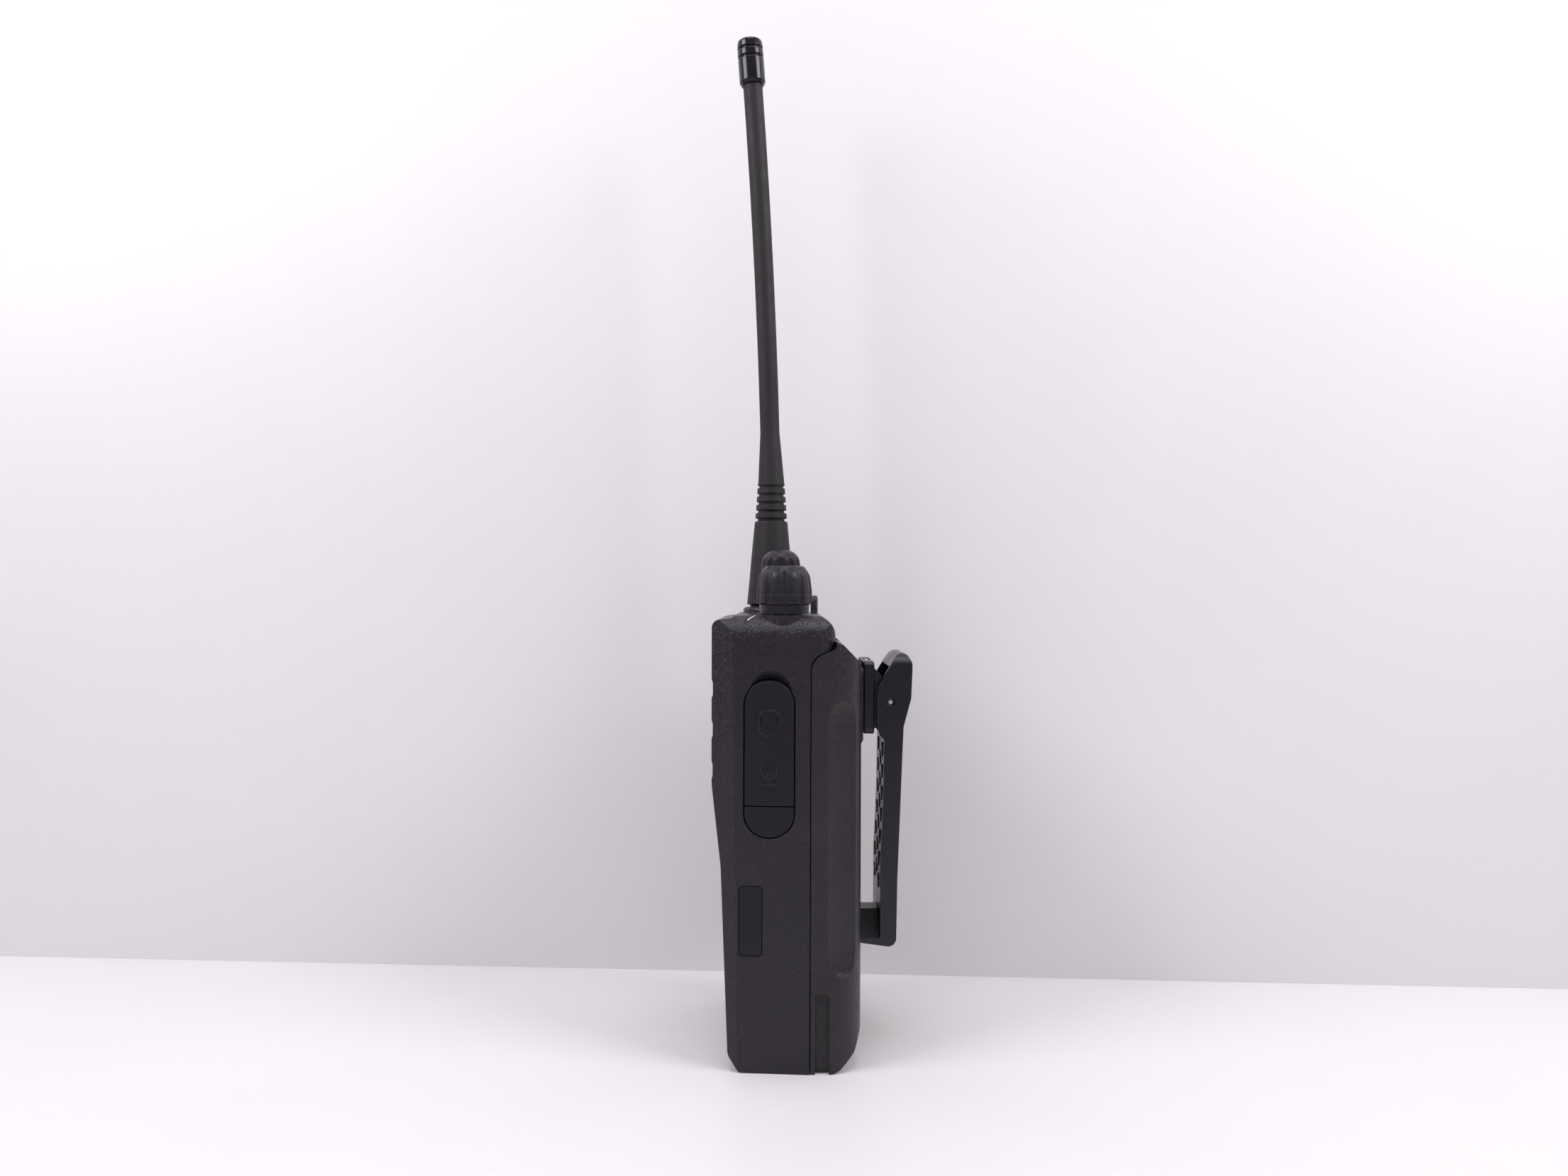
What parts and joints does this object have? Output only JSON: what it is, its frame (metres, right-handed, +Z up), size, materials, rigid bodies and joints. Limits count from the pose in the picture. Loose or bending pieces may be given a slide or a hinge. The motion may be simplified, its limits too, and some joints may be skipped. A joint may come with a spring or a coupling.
{
  "type": "handheld two-way radio",
  "caption": "Handheld two-way radio with a rear battery pack, sprung belt clip, whip antenna, fluted top knobs, side buttons and a hinged accessory cover.",
  "frame": {"origin": "on the base plane in the middle of the housing's width, under the volume knob's shaft", "axes": "+Z up along the body and antenna, +Y from the front grille towards the battery, +X towards the side with the volume knob and the accessory cover"},
  "size_m": [0.0624, 0.0582, 0.3111],
  "materials": {
    "housing_plastic": "fine-grained satin charcoal",
    "cover_rubber": "smooth satin blue-black",
    "button_rubber": "satin black",
    "knob_rubber": "satin charcoal",
    "antenna_rubber": "matt dark grey",
    "cap_gloss": "glossy black",
    "battery_plastic": "fine-grained satin charcoal",
    "clip_plastic": "satin black",
    "tab_plastic": "cream",
    "spring_steel": "bright",
    "nickel_brass": "nickel-plated",
    "gold_contact": "gold-plated",
    "inner_plastic": "moulded",
    "shaft_metal": "turned",
    "die_cast": "cast",
    "seal_rubber": "matt",
    "board": "green laminate",
    "shield_can": "tinned",
    "chip": "moulded",
    "cone_paper": "treated paper",
    "magnet": "plated",
    "light_lens": "frosted",
    "white_paint": "painted",
    "plate_satin": "dark satin",
    "cell_wrap": "sleeved",
    "core_wire": "wire"
  },
  "bodies": {
    "radio": {"front_housing": "housing_plastic", "switch_bezel": "housing_plastic", "dust_cover_tab": "cover_rubber", "side_plug": "cover_rubber", "housing_screw_1": "spring_steel", "housing_screw_2": "spring_steel", "housing_screw_3": "spring_steel", "housing_screw_4": "spring_steel", "antenna_socket": "nickel_brass", "volume_nut": "nickel_brass", "channel_nut": "nickel_brass", "radio_contacts": "gold_contact", "accessory_jacks": "inner_plastic", "speaker_frame": "inner_plastic", "microphone_boot": "inner_plastic", "switch_strip": "inner_plastic", "volume_switch": "inner_plastic", "channel_switch": "inner_plastic", "chassis": "die_cast", "chassis_seal": "seal_rubber", "main_board": "board", "shield_lower": "shield_can", "shield_upper": "shield_can", "processor_chip": "chip", "speaker_cone": "cone_paper", "grille_cloth": "cone_paper", "speaker_magnet": "magnet", "microphone": "magnet", "status_light": "light_lens", "index_mark": "white_paint", "nameplate": "plate_satin"},
    "volume": {"volume_knob": "knob_rubber", "volume_shaft": "shaft_metal"},
    "channel": {"channel_knob": "knob_rubber", "channel_shaft": "shaft_metal"},
    "ptt": {"ptt_button": "button_rubber"},
    "upper_button": {"side_button_upper": "button_rubber"},
    "lower_button": {"side_button_lower": "button_rubber"},
    "dust_cover": {"dust_cover_flap": "cover_rubber"},
    "antenna_ring": {"antenna_seal": "antenna_rubber"},
    "antenna": {"antenna_stud": "nickel_brass", "antenna_sheath": "antenna_rubber", "antenna_cap": "cap_gloss", "antenna_core": "core_wire"},
    "battery": {"battery_shell": "battery_plastic", "battery_inner_plate": "battery_plastic", "cell_1": "cell_wrap", "cell_2": "cell_wrap", "cell_strap": "nickel_brass", "protection_board": "board", "battery_terminals": "gold_contact", "charging_contacts": "gold_contact"},
    "latch": {"battery_latch": "battery_plastic"},
    "clip_base": {"clip_bracket": "clip_plastic", "bracket_tab": "tab_plastic", "clip_pin": "spring_steel", "clip_spring": "spring_steel"},
    "clip": {"clip_lever": "clip_plastic"}
  },
  "joints": [
    {"name": "volume_turn", "type": "hinge", "parent": "radio", "child": "volume", "pos_m": [0.0205, 0, 0.13], "axis": [0, 0, -1], "range_deg": [0, 270]},
    {"name": "channel_turn", "type": "hinge", "parent": "radio", "child": "channel", "pos_m": [0.001, -0.0011, 0.13], "axis": [0, 0, -1], "range_deg": [0, 337.5]},
    {"name": "ptt_press", "type": "slide", "parent": "radio", "child": "ptt", "axis": [1, 0, 0], "range_m": [0, 0.0012], "stiffness_N_per_m": 2500},
    {"name": "upper_press", "type": "slide", "parent": "radio", "child": "upper_button", "axis": [1, 0, 0], "range_m": [0, 0.0007], "stiffness_N_per_m": 2500},
    {"name": "lower_press", "type": "slide", "parent": "radio", "child": "lower_button", "axis": [1, 0, 0], "range_m": [0, 0.0007], "stiffness_N_per_m": 2500},
    {"name": "dust_cover_open", "type": "hinge", "parent": "radio", "child": "dust_cover", "pos_m": [0.0299, -0.0041, 0.0744], "axis": [0.0698, 0.9976, 0], "range_deg": [0, 135]},
    {"name": "antenna_lift", "type": "slide", "parent": "radio", "child": "antenna_ring", "axis": [0, 0, 1], "range_m": [0, 0.01]},
    {"name": "antenna_turn", "type": "hinge", "parent": "antenna_ring", "child": "antenna", "pos_m": [-0.0195, -0.00435, 0.13], "axis": [0, 0, 1], "range_deg": [0, 3780]},
    {"name": "battery_tilt", "type": "hinge", "parent": "radio", "child": "battery", "pos_m": [0, 0.00745, 0.0002], "axis": [-1, 0, 0], "range_deg": [0, 30]},
    {"name": "latch_slide", "type": "slide", "parent": "battery", "child": "latch", "axis": [0, 0, -1], "range_m": [0, 0.002], "stiffness_N_per_m": 500},
    {"name": "clip_slide", "type": "slide", "parent": "battery", "child": "clip_base", "axis": [0, 0, 1], "range_m": [0, 0.025]},
    {"name": "clip_open", "type": "hinge", "parent": "clip_base", "child": "clip", "pos_m": [0, 0.0312, 0.1021], "axis": [1, 0, 0], "range_deg": [0, 12], "stiffness_Nm_per_rad": 0.3, "springref_deg": -17.19}
  ],
  "couplings": [
    {"joint": "antenna_turn", "follows": "antenna_lift", "rad_per_m": 6283.2}
  ]
}
